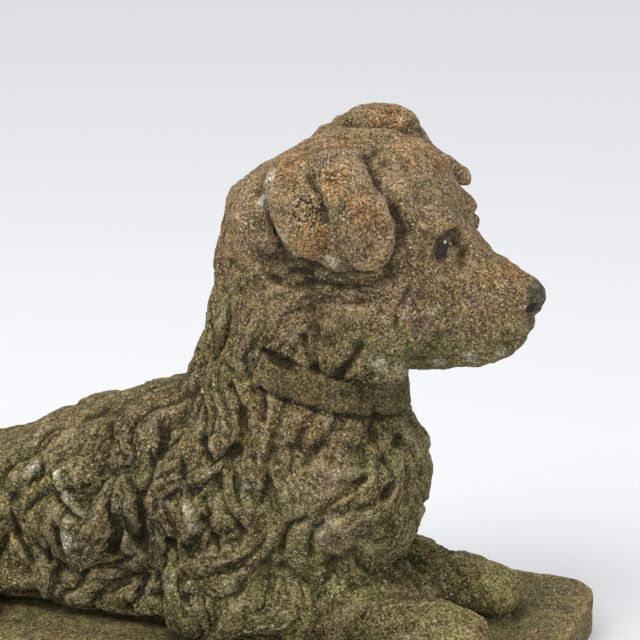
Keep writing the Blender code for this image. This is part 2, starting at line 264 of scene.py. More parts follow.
def fuse(obj, build, voxel, rounds):
    """Adds masses to the object, fuses all of it into one skin and softens the creases."""
    bm = bmesh.new()
    bm.from_mesh(obj.data)
    build(bm)
    bm.to_mesh(obj.data)
    bm.free()
    remesh = obj.modifiers.new("one skin", "REMESH")
    remesh.mode = "VOXEL"
    remesh.voxel_size = voxel
    smooth = obj.modifiers.new("soft creases", "SMOOTH")
    smooth.factor = 0.5
    smooth.iterations = rounds
    apply_modifiers(obj)


def apply_modifiers(obj):
    graph = bpy.context.evaluated_depsgraph_get()
    obj.data = bpy.data.meshes.new_from_object(obj.evaluated_get(graph))
    obj.modifiers.clear()


def ramp(low, high, value):
    """0 below low, 1 above high and smooth between. With low above high it falls instead."""
    t = np.clip((value - low) / (high - low), 0.0, 1.0)
    return t * t * (3 - 2 * t)


def spot(p, centre, radii):
    """1 at the centre, fading smoothly to 0 at about twice the radii."""
    return np.exp(-(((p - np.asarray(centre, float)) / np.asarray(radii, float)) ** 2).sum(1))


def groove(distance, half_width):
    return np.exp(-((distance / half_width) ** 2))


def unit(v):
    return v / np.maximum(np.linalg.norm(v, axis=-1, keepdims=True), 1e-9)


def height_on_collar(p):
    """Distance above the collar's middle, square to the band."""
    normal = np.array((math.sin(COLLAR_SLOPE), 0.0, math.cos(COLLAR_SLOPE)))
    return (p - np.asarray(COLLAR_CENTRE, float)) @ normal


def collar_mask(p):
    x, y, z = p.T
    band = ramp(COLLAR_HALF_HEIGHT + 2, COLLAR_HALF_HEIGHT, np.abs(height_on_collar(p)))
    return band * ramp(84, 98, x) * ramp(215, 200, x)


def coat_depth(p):
    """How deep the fur is cut, from 0 on the muzzle, collar and paws to 1 on the ruff."""
    x, y, z = p.T
    head = ramp(205, 235, z + 0.25 * (x - 100))
    depth = 1.0 - 0.72 * head
    depth *= 1 - head * ramp(150, 200, x)
    depth *= 1 - 0.7 * ramp(58, 64, np.abs(y)) * ramp(262, 272, z) * ramp(92, 102, x)
    legs = ramp(70, 40, z) * ramp(95, 120, np.abs(y) * 0.4 + x * 0.6)
    depth *= 1 - 0.55 * legs
    depth *= 1 - ramp(205, 225, x) * ramp(80, 60, z)
    depth *= 1 - ramp(-145, -125, x) * ramp(84, 90, np.abs(y)) * ramp(45, 35, z) * ramp(0, -20, x)
    depth *= 1 - 0.4 * ramp(50, 95, x) * ramp(205, 185, z) * ramp(40, 60, z)
    depth *= 1 - 0.45 * ramp(40, 10, x) * ramp(60, 40, np.abs(y)) * ramp(90, 110, z + 0.25 * (x + 100))
    depth *= 1 - 0.95 * collar_mask(p)
    return depth * ramp(0, 14, z)


def flow(p, n):
    """Which way the fur lies at p, along the surface."""
    x, y, z = p.T
    side = np.tanh(y / 25)
    zero = np.zeros_like(x)
    flank = np.stack([zero - 0.30, 0.35 * side, zero - 1.0], 1)
    back = np.stack([zero - 1.0, 0.55 * side, zero - 0.45], 1)
    neck = np.stack([zero - 0.10, 0.12 * side, zero - 1.0], 1)
    head = np.stack([zero - 1.0, 0.25 * side, zero - 0.30], 1)
    on_back = (ramp(0.55, 0.85, n[:, 2]) * ramp(60, 20, x))[:, None]
    on_neck = (ramp(10, 50, x) * ramp(100, 150, z))[:, None]
    on_head = (ramp(225, 255, z + 0.25 * (x - 100)) * ramp(0, 60, x))[:, None]
    on_ear = (ramp(60, 66, np.abs(y)) * ramp(265, 280, z))[:, None]
    f = flank * (1 - on_back) + back * on_back
    f = f * (1 - on_neck) + neck * on_neck
    f = f * (1 - on_head) + head * on_head
    f = f * (1 - on_ear) + neck * on_ear
    swirl = 0.5 * np.sin(x / 17 + z / 31 + 1.7 * side) + 0.4 * np.sin(z / 11 - x / 29 + 0.6)
    swirl = (swirl * (1 - 0.8 * on_head[:, 0]) * (1 - 0.35 * on_neck[:, 0]))[:, None]
    f = unit(f - n * (f * n).sum(1, keepdims=True))
    return f * np.cos(swirl) + np.cross(n, f) * np.sin(swirl)


def grain(p, size, seed):
    """Smooth random values, about -1 to 1, that change over a distance of size."""
    cells = np.random.default_rng(seed).uniform(-1, 1, (48, 48, 48))
    at = p / size
    low = np.floor(at)
    f = at - low
    f = f * f * (3 - 2 * f)
    low = low.astype(int) % 48
    high = (low + 1) % 48
    total = 0.0
    for corner in range(8):
        picks = [(corner >> axis) & 1 for axis in range(3)]
        i, j, k = [high[:, axis] if pick else low[:, axis] for axis, pick in enumerate(picks)]
        share = np.prod([f[:, axis] if pick else 1 - f[:, axis] for axis, pick in enumerate(picks)], axis=0)
        total = total + share * cells[i, j, k]
    return total


def combed(p, n, size, reach, seed, steps=7):
    """Random values drawn out along the lie of the fur, so that they change only across it."""
    total = grain(p, size, seed)
    for way in (-1, 1):
        q = p.copy()
        for _ in range(steps):
            q += way * reach / steps * flow(q, n)
            total += grain(q, size, seed)
    return total / total.std()


def lay_locks(p, n, size, reach, seed):
    """Height of the locks, from 0 in the grooves between them to 1 along their backs."""
    return 1 - np.exp(-((combed(p, n, size, reach, seed) / 0.6) ** 2))


def carve_face(p):
    """Eyes, nose, mouth, toes, the hollow behind the elbow and the collar: how far p moves out."""
    x, y, z = p.T
    away = np.abs(y)
    both = np.stack([x, away, z], 1)
    out = -4.0 * spot(both, (214, 35, 290), (11, 10, 14))
    eye_x, eye_z = x - 211, z - 289
    out += 5.5 * np.exp(-(((eye_x - 0.3 * eye_z) / 5.0) ** 2 + (eye_z / 8.2) ** 2) ** 2) * ramp(20, 26, away)
    out -= 4.5 * np.exp(-(((eye_x - 8.5 + 0.3 * eye_z) / 2.8) ** 2 + (eye_z / 12) ** 2)) * ramp(14, 22, away)
    out -= 4.5 * spot(both, (270, 8, 247), (5, 4.5, 4.5))
    out -= 2.0 * groove(np.hypot(x - 274, (z - 252) * 0.8) - 17, 2.2) * ramp(262, 252, z + 0.5 * (x - 250))
    lip = 209 + 14 * ramp(228, 262, x) - 2 * ramp(215, 200, x)
    out -= 2.8 * groove(z - lip, 2.6) * ramp(186, 196, x) * ramp(274, 268, x) * ramp(244, 232, z)
    out -= 2.0 * groove(y, 2.2) * ramp(258, 264, x) * ramp(222, 226, z) * ramp(246, 242, z)
    out -= 8.0 * spot(both, (7, 84, 74), (11, 24, 27))
    toes = ramp(226, 238, x) * ramp(60, 40, z)
    out -= 3.5 * toes * (groove(away - 37, 2.4) + groove(away - 51, 2.4) + groove(away - 44, 2.4))
    hind = ramp(-126, -116, x) * ramp(0, -20, x) * ramp(50, 35, z)
    out -= 3.0 * hind * (groove(away - 92, 2.2) + groove(away - 103, 2.2))
    out += COLLAR_PROUD * collar_mask(p)
    rim = np.abs(np.abs(height_on_collar(p)) - COLLAR_HALF_HEIGHT - 2.5)
    out -= 2.5 * groove(rim, 2.2) * ramp(84, 98, x) * ramp(215, 200, x)
    tongue = np.hypot(np.minimum(x - 140, 0) / 9, (height_on_collar(p) + 1) / 8.5)
    out += 1.8 * ramp(1.1, 0.9, tongue) * ramp(176, 172, x) * (y < 0) * ramp(120, 140, z)
    return out


def table_points(obj):
    """The skin's points and normals, in the tables' own units."""
    count = len(obj.data.vertices)
    flat = np.empty(count * 3)
    obj.data.vertices.foreach_get("co", flat)
    p = (flat.reshape(-1, 3) - np.array(place(0, 0, 0))) / UNIT
    turned = np.empty(count * 3)
    obj.data.vertex_normals.foreach_get("vector", turned)
    return p, turned.reshape(-1, 3)


def move_out(obj, p, n, out):
    moved = (p + n * out[:, None]) * UNIT + np.array(place(0, 0, 0))
    obj.data.vertices.foreach_set("co", moved.ravel())
    obj.data.update()


def carve(obj):
    p, n = table_points(obj)
    locks = lay_locks(p, n, LOCK_WIDTH, LOCK_REACH / 2, 5)
    out = LOCK_DEPTH * coat_depth(p) * (locks - 0.6) + carve_face(p)
    move_out(obj, p, n, out)


# Finer carving over the same masses
FINE_VOXEL = 1.5 * UNIT
PIECE_TRIANGLES = 197000

# Fine strands combed along the locks, as (width, reach along the fur, depth)
STRANDS = [(7.0, 36.0, 1.7), (4.0, 28.0, 1.6)]

# Chisel strokes that show on the right side, as (half width, depth, points along the stroke in x and z).
# The points were marked by eye on the photograph, then carried onto the solid along the camera's line of
# sight by a scratch script, to the nearest unit.
STROKES = [
    # back and flank
    (2.6, 3.0, [(-57, 140), (-46, 145), (-35, 148)]),
    (2.8, 4.0, [(-85, 98), (-81, 102), (-77, 107)]),
    (2.6, 4.5, [(-67, 105), (-63, 95), (-58, 89), (-52, 84), (-44, 81)]),
    (2.2, 2.5, [(-88, 77), (-83, 83), (-77, 90)]),
    (3.0, 4.5, [(-97, 60), (-91, 49), (-87, 39)]),
    (2.6, 4.0, [(-62, 68), (-61, 57), (-57, 48)]),
    (2.4, 3.5, [(-73, 61), (-71, 53), (-72, 40)]),
    (3.4, 5.0, [(-99, 85), (-99, 71), (-97, 58)]),
    (3.0, 5.0, [(-14, 84), (-14, 70), (-20, 54)]),
    (3.6, 6.0, [(-11, 80), (-5, 72), (0, 64)]),
    (3.4, 5.5, [(-5, 113), (0, 106), (4, 100), (4, 84), (3, 61)]),
    (3.0, 5.0, [(9, 133), (13, 126), (12, 117), (7, 104)]),
    (2.6, 3.5, [(10, 151), (17, 140), (17, 132)]),
    (2.4, 3.0, [(36, 132), (37, 120), (43, 111)]),
    (3.4, 5.5, [(18, 82), (25, 71), (34, 63)]),
    # shoulder, chest and neck
    (3.8, 6.5, [(50, 149), (54, 141), (60, 135), (67, 138), (74, 143)]),
    (2.8, 4.0, [(66, 185), (72, 177), (76, 169), (77, 161)]),
    (2.4, 3.2, [(90, 184), (92, 175), (92, 165)]),
    (3.2, 5.0, [(65, 122), (68, 110), (73, 103), (78, 97), (82, 87)]),
    (2.8, 4.0, [(55, 93), (61, 84), (65, 74)]),
    (2.2, 2.8, [(113, 148), (114, 140), (114, 133)]),
    (2.4, 3.0, [(94, 109), (97, 117), (99, 124)]),
    (2.8, 4.5, [(126, 100), (116, 95), (111, 87), (108, 75)]),
    (2.6, 4.0, [(137, 98), (132, 93), (129, 83), (129, 72)]),
    (2.6, 3.5, [(164, 172), (161, 159), (161, 149)]),
    (2.2, 2.8, [(174, 146), (175, 142)]),
    (2.4, 3.0, [(170, 138), (173, 126), (175, 113)]),
    (2.4, 3.0, [(150, 126), (156, 125), (162, 128)]),
    (2.2, 2.8, [(154, 109), (160, 118)]),
    (2.4, 3.0, [(58, 200), (67, 195), (75, 190)]),
    (2.4, 3.4, [(36, 172), (46, 164), (48, 156), (47, 149)]),
    (2.2, 2.8, [(51, 173), (55, 163), (55, 153)]),
    # ruff and jaw
    (2.6, 3.5, [(118, 223), (121, 214), (126, 203)]),
    (3.0, 4.0, [(145, 200), (153, 212), (160, 222)]),
    (2.0, 2.2, [(88, 211), (98, 207), (108, 203), (116, 199)]),
    # ear and face
    (2.2, 1.4, [(99, 330), (98, 314), (103, 298)]),
    (2.6, 1.4, [(168, 344), (172, 330), (180, 316), (186, 300)]),
    (2.2, 1.4, [(128, 336), (138, 326), (143, 314), (144, 300), (142, 288)]),
    (2.4, 1.8, [(157, 286), (158, 276)]),
    (2.4, 2.4, [(214, 297), (215, 288), (220, 276)]),
    (2.2, 1.6, [(247, 222), (256, 227)]),
    (3.0, 2.2, [(95, 262), (110, 258), (130, 264), (146, 262), (160, 263), (176, 270)]),
    (2.4, 1.8, [(190, 262), (184, 250), (183, 238)]),
]
# Locks that stand up between the strokes, with the depth below zero
CRESTS = [
    (3.0, -2.6, [(-86, 105), (-82, 111), (-80, 116)]),
    (3.4, -3.6, [(-64, 108), (-60, 100), (-53, 93), (-44, 86)]),
    (5.0, -3.6, [(-53, 73), (-53, 64), (-54, 53)]),
    (3.0, -2.6, [(-35, 72), (-28, 83), (-24, 94)]),
    (2.6, -2.2, [(-53, 116), (-46, 109), (-46, 99)]),
    (3.0, -2.6, [(20, 105), (20, 93)]),
    (4.6, -3.2, [(39, 103), (44, 95), (47, 86)]),
    (3.0, -2.6, [(57, 147), (60, 139)]),
    (2.8, -2.4, [(60, 106), (66, 97)]),
    (4.0, -2.2, [(132, 137), (141, 132), (151, 130), (159, 131)]),
    (3.0, -2.2, [(-98, 129), (-85, 129)]),
    (2.8, -2.0, [(-47, 135), (-38, 138)]),
    (4.0, -2.6, [(137, 88), (143, 94), (150, 93), (151, 81), (145, 75)]),
    (3.0, -1.6, [(196, 304), (204, 301), (211, 303)]),
]

RIGHT_SIDE_Y = -15


def stroke_depth(p):
    """How far the strokes and crests move the right side out, and how near p is to one of them."""
    out, nearness = np.zeros(len(p)), np.zeros(len(p))
    right = p[:, 1] < RIGHT_SIDE_Y
    for half_width, depth, points in STROKES + CRESTS:
        points = np.asarray(points, float)
        low, high = points.min(0) - 4 * half_width, points.max(0) + 4 * half_width
        flat = p[:, (0, 2)]
        near = np.nonzero(right & (flat > low).all(1) & (flat < high).all(1))[0]
        q = flat[near]
        nearest = np.full(len(near), 1e9)
        for a, b in zip(points[:-1], points[1:]):
            t = np.clip((q - a) @ (b - a) / ((b - a) @ (b - a)), 0, 1)
            nearest = np.minimum(nearest, np.linalg.norm(q - a - t[:, None] * (b - a), axis=1))
        out[near] -= depth * groove(nearest, half_width)
        nearness[near] = np.maximum(nearness[near], groove(nearest, 1.8 * half_width))
    return out, nearness


def rough(p, size, seed):
    """Soft noise from -1 to 1 with lumps about as large as size."""
    rng = np.random.default_rng(seed)
    out = np.zeros(len(p))
    for _ in range(7):
        direction = unit(rng.normal(size=3)) * 2 * math.pi / (size * rng.uniform(1.4, 2.6))
        other = unit(rng.normal(size=3)) * 2 * math.pi / (size * rng.uniform(1.4, 2.6))
        out += np.sin(p @ direction + rng.uniform(0, 6.3)) * np.sin(p @ other + rng.uniform(0, 6.3))
    return out / 2.6


EYE = (210, 39, 289)
EYE_LEAN = 0.30  # how far the eye's top leans towards the nose, as a slope


def carve_eyes(p):
    """A low dome for each eye, in a rim and a soft lid."""
    x, y, z = p.T
    off_x, off_z = x - EYE[0], z - EYE[2]
    far = np.hypot((off_x - EYE_LEAN * off_z) / 3.7, off_z / 7.2)
    far = np.where(np.abs(y) > 20, far, 9.0)
    dome = 1.2 * (1 - np.minimum(far, 1) ** 2)
    return dome - 1.8 * groove(far - 1.22, 0.28) + 0.6 * groove(far - 1.95, 0.35)


def lumps(p):
    """Uneven weathering of the head, ears and paws, which have no fur to break them up."""
    bare = 1 - np.clip(coat_depth(p) * 1.6, 0, 1)
    return bare * (1.1 * rough(p, 22, 51) + 0.5 * rough(p, 12, 52)) * ramp(0, 10, p[:, 2])


def collar_rims(p):
    """The thin cracks above and below the collar."""
    rim = np.abs(np.abs(height_on_collar(p)) - COLLAR_HALF_HEIGHT - 2.0)
    return 1.2 * groove(rim, 1.7) * ramp(86, 98, p[:, 0]) * ramp(212, 200, p[:, 0])


def carve_fine(obj):
    """Cuts strokes, strands, eyes and wear into the skin, and keeps the strands for the hair lines."""
    p, n = table_points(obj)
    coat = coat_depth(p)
    z = p[:, 2]
    above_plinth = ramp(1.5, 5, z)
    plinth_top = -PLINTH_HEIGHT / UNIT + 4
    worn = 0.8 + 0.35 * rough(p, 45, 3)
    furry = coat > 0.01
    out, near_stroke = stroke_depth(p)
    hairs = np.zeros(len(p))
    for k, (size, reach, depth) in enumerate(STRANDS):
        values = combed(p[furry], n[furry], size, reach, 31 + k)
        height = np.zeros(len(p))
        height[furry] = 1 - np.exp(-((values / 0.6) ** 2)) - 0.6
        out += depth * height * worn * np.clip(0.10 + coat, 0, 1) * (1 - 0.6 * near_stroke)
        hairs[furry] += values
    out += 0.40 * rough(p, 9, 21) + 0.28 * rough(p, 5, 22)
    out *= above_plinth
    out += (1 - above_plinth) * (0.25 * rough(p, 14, 23) + 0.2 * rough(p, 6, 24)) * (z > plinth_top)
    out += carve_eyes(p) + lumps(p)
    out -= collar_rims(p)
    layer = obj.data.attributes.new("hairs", "FLOAT", "POINT")
    layer.data.foreach_set("value", hairs.astype(np.float32))
    move_out(obj, p, n, out)


def rounded_plinth(bm):
    made = bmesh.ops.create_cube(bm, size=2.0)
    for vertex in made["verts"]:
        vertex.co.x *= HALF_LENGTH * UNIT + PLINTH_MARGIN
        vertex.co.y *= HALF_WIDTH * UNIT + PLINTH_MARGIN
        vertex.co.z = PLINTH_HEIGHT if vertex.co.z > 0 else 0.0
    own = set(made["verts"])
    upright = [e for e in bm.edges if set(e.verts) <= own
               and abs(e.verts[0].co.z - e.verts[1].co.z) > PLINTH_HEIGHT / 2]
    rounded = bmesh.ops.bevel(bm, geom=upright, offset=PLINTH_CORNER, segments=8, profile=0.5,
                              affect="EDGES", material=-1)
    own |= set(rounded["verts"])
    brim = [e for e in bm.edges if e.verts[0] in own and e.verts[1] in own
            and all(v.co.z > PLINTH_HEIGHT - 1e-6 and v.is_valid for v in e.verts)]
    bmesh.ops.bevel(bm, geom=brim, offset=PLINTH_CHAMFER, segments=3, profile=0.5,
                    affect="EDGES", material=-1)


def neighbour_pairs(obj):
    """The two ends of every edge."""
    pairs = np.empty(len(obj.data.edges) * 2, np.int32)
    obj.data.edges.foreach_get("vertices", pairs)
    return pairs.reshape(-1, 2)


def spread(vectors, pairs, rounds):
    """Vectors at the vertices, evened out over their neighbours."""
    count = len(vectors)
    share = np.maximum(np.bincount(pairs.ravel(), minlength=count), 1)[:, None]
    for _ in range(rounds):
        total = np.zeros_like(vectors)
        for a, b in ((0, 1), (1, 0)):
            for axis in range(3):
                total[:, axis] += np.bincount(pairs[:, a], vectors[pairs[:, b], axis], count)
        vectors = 0.5 * vectors + 0.5 * total / share
    return vectors


FINE_ROUNDS, FINE_DEPTH = 6, 1.1
BROAD_ROUNDS, BROAD_DEPTH = 40, 3.0
PAINTED_RELIEF_LIGHT_GAIN = 1.4


def hollowness(obj):
    """How the skin differs from its own smoothed form, -1 to 1: finely and broadly sunk, and tilted up, which
    give the painted shade and light of the relief.
    """
    p, n = table_points(obj)
    pairs = neighbour_pairs(obj)
    tilt = PAINTED_RELIEF_LIGHT_GAIN * (n[:, 2] - spread(n, pairs, BROAD_ROUNDS)[:, 2])
    fine = ((spread(p, pairs, FINE_ROUNDS) - p) * n).sum(1) / FINE_DEPTH
    broad = ((spread(p, pairs, BROAD_ROUNDS) - p) * n).sum(1) / BROAD_DEPTH
    return np.clip(fine, -1, 1), np.clip(broad, -1, 1), np.clip(tilt, -1, 1)


def sculpt_terrier():
    dog = bpy.data.objects.new("terrier", bpy.data.meshes.new("terrier"))
    bpy.context.scene.collection.objects.link(dog)
    fuse(dog, body_masses, VOXEL, 14)
    fuse(dog, head_masses, 0.75 * VOXEL, 9)
    fuse(dog, ear_masses, 0.55 * VOXEL, 3)
    carve(dog)
    fuse(dog, rounded_plinth, FINE_VOXEL, 1)
    carve_fine(dog)
    keep_in_box(dog)
    thin_but_face(dog)
    keep_in_box(dog)
    return dog


FACE_FROM_X, FACE_FROM_Z = 190, 196


def thin_but_face(obj):
    """Collapses all but the face, down to PIECE_TRIANGLES with the face counted in."""
    p, n = table_points(obj)
    face = (p[:, 0] > FACE_FROM_X) & (p[:, 2] > FACE_FROM_Z)
    group = obj.vertex_groups.new(name="to thin")
    group.add([int(i) for i in np.nonzero(~face)[0]], 1.0, "REPLACE")
    collapse = obj.modifiers.new("fewer faces", "DECIMATE")
    collapse.ratio = PIECE_TRIANGLES / sum(len(f.vertices) - 2 for f in obj.data.polygons)
    collapse.vertex_group = "to thin"
    apply_modifiers(obj)
    obj.vertex_groups.clear()


FLAT_BELOW = 0.0012  # metres above the ground within which the underside is laid flat
HEAD_ROOM = 0.004


def keep_in_box(obj):
    """The underside lies flat, and the skin keeps to the CAD solid's box, with HEAD_ROOM above."""
    low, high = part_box("stone_terrier")
    flat = np.empty(len(obj.data.vertices) * 3)
    obj.data.vertices.foreach_get("co", flat)
    co = flat.reshape(-1, 3)
    co[co[:, 2] < FLAT_BELOW, 2] = 0.0
    co = np.clip(co, np.array(low), np.array(high) + (0, 0, HEAD_ROOM))
    obj.data.vertices.foreach_set("co", co.ravel())
    obj.data.update()


# Growths, stains and tones, with painted shadows and painted highlights among them, as (centre, radius,
# strength) on the figure's own scale. Most of the centres were found as the strokes' points were.
ORANGE = [
    ((146, -76, 338), 12, 1.0), ((134, -82, 300), 15, 1.0), ((171, -84, 314), 11, 1.0),
    ((145, 36, 358), 16, 0.9), ((250, -6, 270), 12, 0.9), ((109, -58, 346), 22, 0.7),
    ((181, -10, 348), 24, 0.6), ((195, 3, 336), 20, 0.55), ((133, -82, 290), 12, 0.8),
    ((130, -30, 352), 26, 0.6), ((211, 23, 306), 14, 0.25), ((162, -83, 328), 10, 0.8),
    ((120, 40, 350), 18, 0.5),
]
OCHRE = [
    ((58, -39, 284), 16, 1.0), ((65, -43, 300), 14, 0.7), ((219, -17, 289), 10, 0.6),
    ((234, -26, 270), 15, 0.8), ((241, -30, 253), 14, 0.4), ((180, -39, 327), 14, 0.5),
]
SOOT = [
    ((132, -80, 318), 10, 1.3), ((116, 36, 352), 8, 1.1), ((145, 42, 363), 5, 0.9),
    ((142, -70, 353), 7, 0.6), ((170, -68, 352), 6, 0.5), ((184, -80, 314), 5, 0.5),
]
# Pale places: worn grey stone on the ears, cheek and jaw, and painted highlights on the body's raised locks
PALE = [
    # ear
    ((99, -60, 333), 8, 1.2), ((97, -70, 318), 7, 1.1), ((110, -80, 298), 7, 1.1),
    ((120, -80, 284), 6, 1.0), ((146, -78, 284), 6, 1.1), ((156, -78, 279), 5, 0.8),
    ((148, -65, 279), 7, 0.9), ((155, 38, 358), 4, 0.8),
    # cheek and jaw
    ((205, -43, 247), 4.5, 1.0), ((204, -21, 205), 8, 0.8), ((226, -24, 211), 9, 0.9),
    ((245, -18, 215), 8, 0.8), ((171, -50, 212), 10, 0.8), ((180, -43, 207), 10, 0.7),
    # body: painted highlights on the raised locks
    ((-63, -72, 107), 6, 0.9), ((-60, -74, 99), 6, 0.9), ((-54, -77, 92), 7, 0.9),
    ((-47, -80, 85), 6, 0.8), ((-54, -77, 62), 9, 1.2), ((44, -81, 99), 7, 0.9),
    ((47, -82, 89), 7, 0.9), ((57, -74, 145), 6, 0.9), ((22, -77, 98), 7, 0.8),
    ((-30, -82, 84), 8, 0.7), ((84, -76, 119), 6, 0.7), ((-84, -67, 108), 7, 1.1),
    ((142, -69, 120), 8, 0.5), ((-40, -76, 60), 6, 0.7), ((-95, -40, 128), 7, 0.8),
]
# Painted shadow: dark spots under and around the ears, in the creases of the face, along the collar's top
# edge and in the recesses of the body, with a few broad, faint darker patches
PAINTED_SHADOWS = [
    # head
    ((160, -76, 310), 22, 0.58), ((200, -45, 250), 22, 0.15), ((248, -20, 262), 20, 0.15),
    ((98, -66, 274), 11, 0.9), ((116, -60, 270), 11, 0.8), ((140, -58, 266), 12, 0.7),
    ((164, -57, 266), 11, 0.7), ((182, -56, 276), 8, 0.7), ((172, -72, 334), 6, 0.8),
    ((178, -76, 318), 6, 0.6), ((185, -70, 306), 6, 0.6), ((96, -74, 306), 9, 0.6),
    ((150, -50, 236), 8, 0.4), ((170, 40, 344), 6, 0.7),
    # body
    ((60, -78, 118), 26, 0.2), ((-22, -78, 62), 40, 0.25), ((-16, -50, 145), 40, 0.42),
    ((68, -84, 95), 12, 0.35), ((8, -80, 74), 18, 0.8), ((-2, -76, 56), 14, 0.8),
    ((90, -50, 214), 8, 0.9), ((104, -58, 206), 6, 0.8),
]
# Places where the painted shadow is lessened, and turned to painted light where no shadow spot lies
LIGHTENED = [
    ((-82, -75, 98), 38, 0.6), ((232, -25, 212), 24, 0.45), ((148, -60, 85), 32, 0.45),
    ((214, -40, 246), 10, 0.3), ((40, -80, 95), 14, 0.3), ((195, -35, 322), 22, 0.2),
    ((85, -62, 192), 22, 0.25),
]
ROSE = [
    ((140, -68, 130), 18, 0.8), ((146, -68, 88), 20, 0.8), ((222, -38, 258), 16, 0.7),
    ((196, -48, 238), 18, 0.6), ((160, -72, 272), 12, 0.6), ((110, -60, 232), 18, 0.4),
    ((48, -60, 168), 16, 0.5),
]
GREEN = [
    ((10, -76, 116), 8, 1.0), ((70, -80, 139), 8, 0.8), ((176, -34, 140), 22, 0.8),
    ((98, -74, 116), 14, 0.7), ((112, -74, 80), 16, 0.8), ((108, -60, 262), 14, 0.7),
    ((205, -44, 222), 14, 0.5), ((30, -80, 66), 16, 0.8),
]
GRITTY = [
    ((188, -32, 328), 26, 1.0), ((-98, -70, 90), 16, 1.0), ((-20, -40, 152), 22, 0.7),
    ((250, -20, 262), 14, 0.6), ((200, -46, 240), 16, 0.6), ((160, -60, 345), 14, 0.8),
    ((30, -30, 172), 14, 0.6),
]


def patch(p, spots):
    """The strongest of the spots at each point."""
    out = np.zeros(len(p))
    for centre, radius, strength in spots:
        out = np.maximum(out, strength * spot(p, centre, (radius, radius * 1.4, radius)))
    return out


def paint_weights(obj):
    """Keeps on the mesh how hollow each place is, what grows there, and where light and shade are painted."""
    p, n = table_points(obj)
    x, y, z = p.T
    left = np.stack([x, -y, z], 1)

    def on_both(spots, left_share):
        return np.maximum(patch(p, spots), left_share * patch(left, spots))

    fine, broad, tilt = hollowness(obj)
    # Shallower hollows on the chest and neck, for less painted shade there
    broad *= 1 - 0.38 * ramp(40, 85, x) * ramp(255, 225, z)
    head = ramp(225, 290, z + 0.2 * (x - 100))
    throat = ramp(120, 185, x) * ramp(250, 200, z) * ramp(20, 60, z)
    throat *= 1 - 0.8 * ramp(195, 215, x) * ramp(190, 200, z)
    weights = {
        "groove": 0.5 + 0.5 * fine,
        "hollow": 0.5 + 0.5 * broad,
        "orange": on_both(ORANGE, 0.7),
        "ochre": on_both(OCHRE, 0.7),
        "soot": on_both(SOOT, 0.8),
        "pale": on_both(PALE, 0.8),
        "moss": np.clip(0.75 * throat + 0.45 * ramp(170, 60, z) + 0.3 * broad + 0.85 * patch(p, GREEN), 0, 1),
        "rose": patch(p, ROSE),
        "gritty": on_both(GRITTY, 1.0),
        "warmth": np.clip(head + 0.15 * rough(p, 60, 41), 0, 1),
        "fur": np.clip(coat_depth(p) * 1.3, 0, 1),
        # painted shadow spots, taken back in the lightened places
        "painted_shadow": on_both(PAINTED_SHADOWS, 1.0) - patch(p, LIGHTENED),
        "collar": collar_mask(p),
        # painted light: faces that look up are lighter, faces that look down darker
        "painted_top_light": ramp(-0.6, 0.9, n[:, 2]),
        # painted light and shade: fine relief lighter where it tilts up from its broad form, darker where it
        # tilts down
        "tilt": tilt,
    }
    for name, values in weights.items():
        layer = obj.data.attributes.new(name, "FLOAT", "POINT")
        layer.data.foreach_set("value", values.astype(np.float32))


class Socket:
    """A node's output, so that shader maths reads as an expression."""

    def __init__(self, finish, output):
        self.finish, self.output = finish, output

    def __add__(self, other):
        return self.finish.math("ADD", self, other)

    def __radd__(self, other):
        return self.finish.math("ADD", other, self)

    def __sub__(self, other):
        return self.finish.math("SUBTRACT", self, other)

    def __rsub__(self, other):
        return self.finish.math("SUBTRACT", other, self)

    def __mul__(self, other):
        return self.finish.math("MULTIPLY", self, other)

    def __rmul__(self, other):
        return self.finish.math("MULTIPLY", other, self)

    def __truediv__(self, other):
        return self.finish.math("DIVIDE", self, other)


